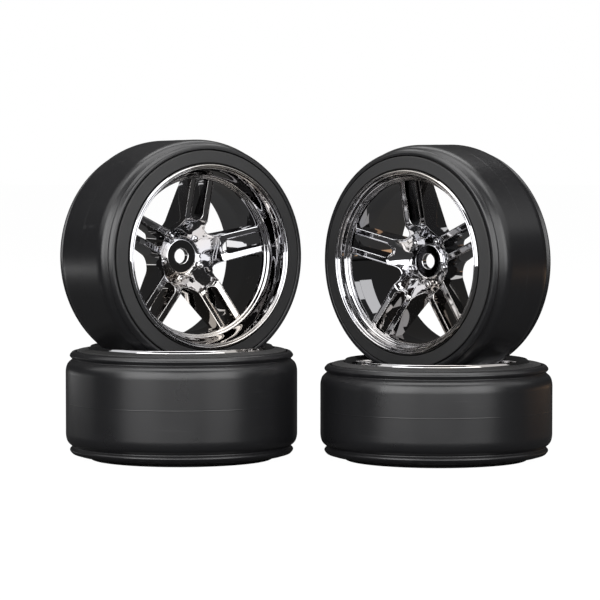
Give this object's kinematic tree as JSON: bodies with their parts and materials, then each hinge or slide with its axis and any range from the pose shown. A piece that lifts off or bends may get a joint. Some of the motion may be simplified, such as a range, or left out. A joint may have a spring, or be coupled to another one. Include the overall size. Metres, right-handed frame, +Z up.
{
  "type": "drift wheel set",
  "caption": "Model car drift wheels with hard slick tyres and split-spoke black chrome rims, wider rear and narrower front, stacked lying and standing",
  "frame": {"origin": "middle of the set's base, on the surface it stands on", "axes": "+X along the row from the rear wheels to the front wheels, +Y away from the viewer, +Z up"},
  "size_m": [0.1385, 0.068, 0.0902],
  "materials": {
    "black_chrome": "mirror-bright black chrome plating on moulded plastic",
    "drift_ring": "smooth satin hard plastic",
    "tyre_rubber": "matte rubber sidewall",
    "foam": "open-cell foam"
  },
  "bodies": {
    "rear_lower": {"rear_lower_rim_barrel": "black_chrome", "rear_lower_hub": "black_chrome", "rear_lower_spokes": "black_chrome", "rear_lower_tyre": "tyre_rubber", "rear_lower_drift_ring": "drift_ring", "rear_lower_foam_insert": "foam"},
    "rear_upper": {"rear_upper_rim_barrel": "black_chrome", "rear_upper_hub": "black_chrome", "rear_upper_spokes": "black_chrome", "rear_upper_tyre": "tyre_rubber", "rear_upper_drift_ring": "drift_ring", "rear_upper_foam_insert": "foam"},
    "front_lower": {"front_lower_rim_barrel": "black_chrome", "front_lower_hub": "black_chrome", "front_lower_spokes": "black_chrome", "front_lower_tyre": "tyre_rubber", "front_lower_drift_ring": "drift_ring", "front_lower_foam_insert": "foam"},
    "front_upper": {"front_upper_rim_barrel": "black_chrome", "front_upper_hub": "black_chrome", "front_upper_spokes": "black_chrome", "front_upper_tyre": "tyre_rubber", "front_upper_drift_ring": "drift_ring", "front_upper_foam_insert": "foam"}
  },
  "joints": [
    {"name": "rear_upper_spin", "type": "hinge", "parent": "rear_lower", "child": "rear_upper", "pos_m": [-0.03567, 0.00138, 0.0574], "axis": [0.546, -0.8375, 0.0227], "continuous": true},
    {"name": "front_lower_spin", "type": "hinge", "parent": "rear_lower", "child": "front_lower", "pos_m": [0.03643, -0.00122, 0.01425], "axis": [0, 0, 1], "continuous": true},
    {"name": "front_upper_spin", "type": "hinge", "parent": "front_lower", "child": "front_upper", "pos_m": [0.03643, 0, 0.0561], "axis": [-0.6665, -0.7455, 0], "continuous": true}
  ]
}
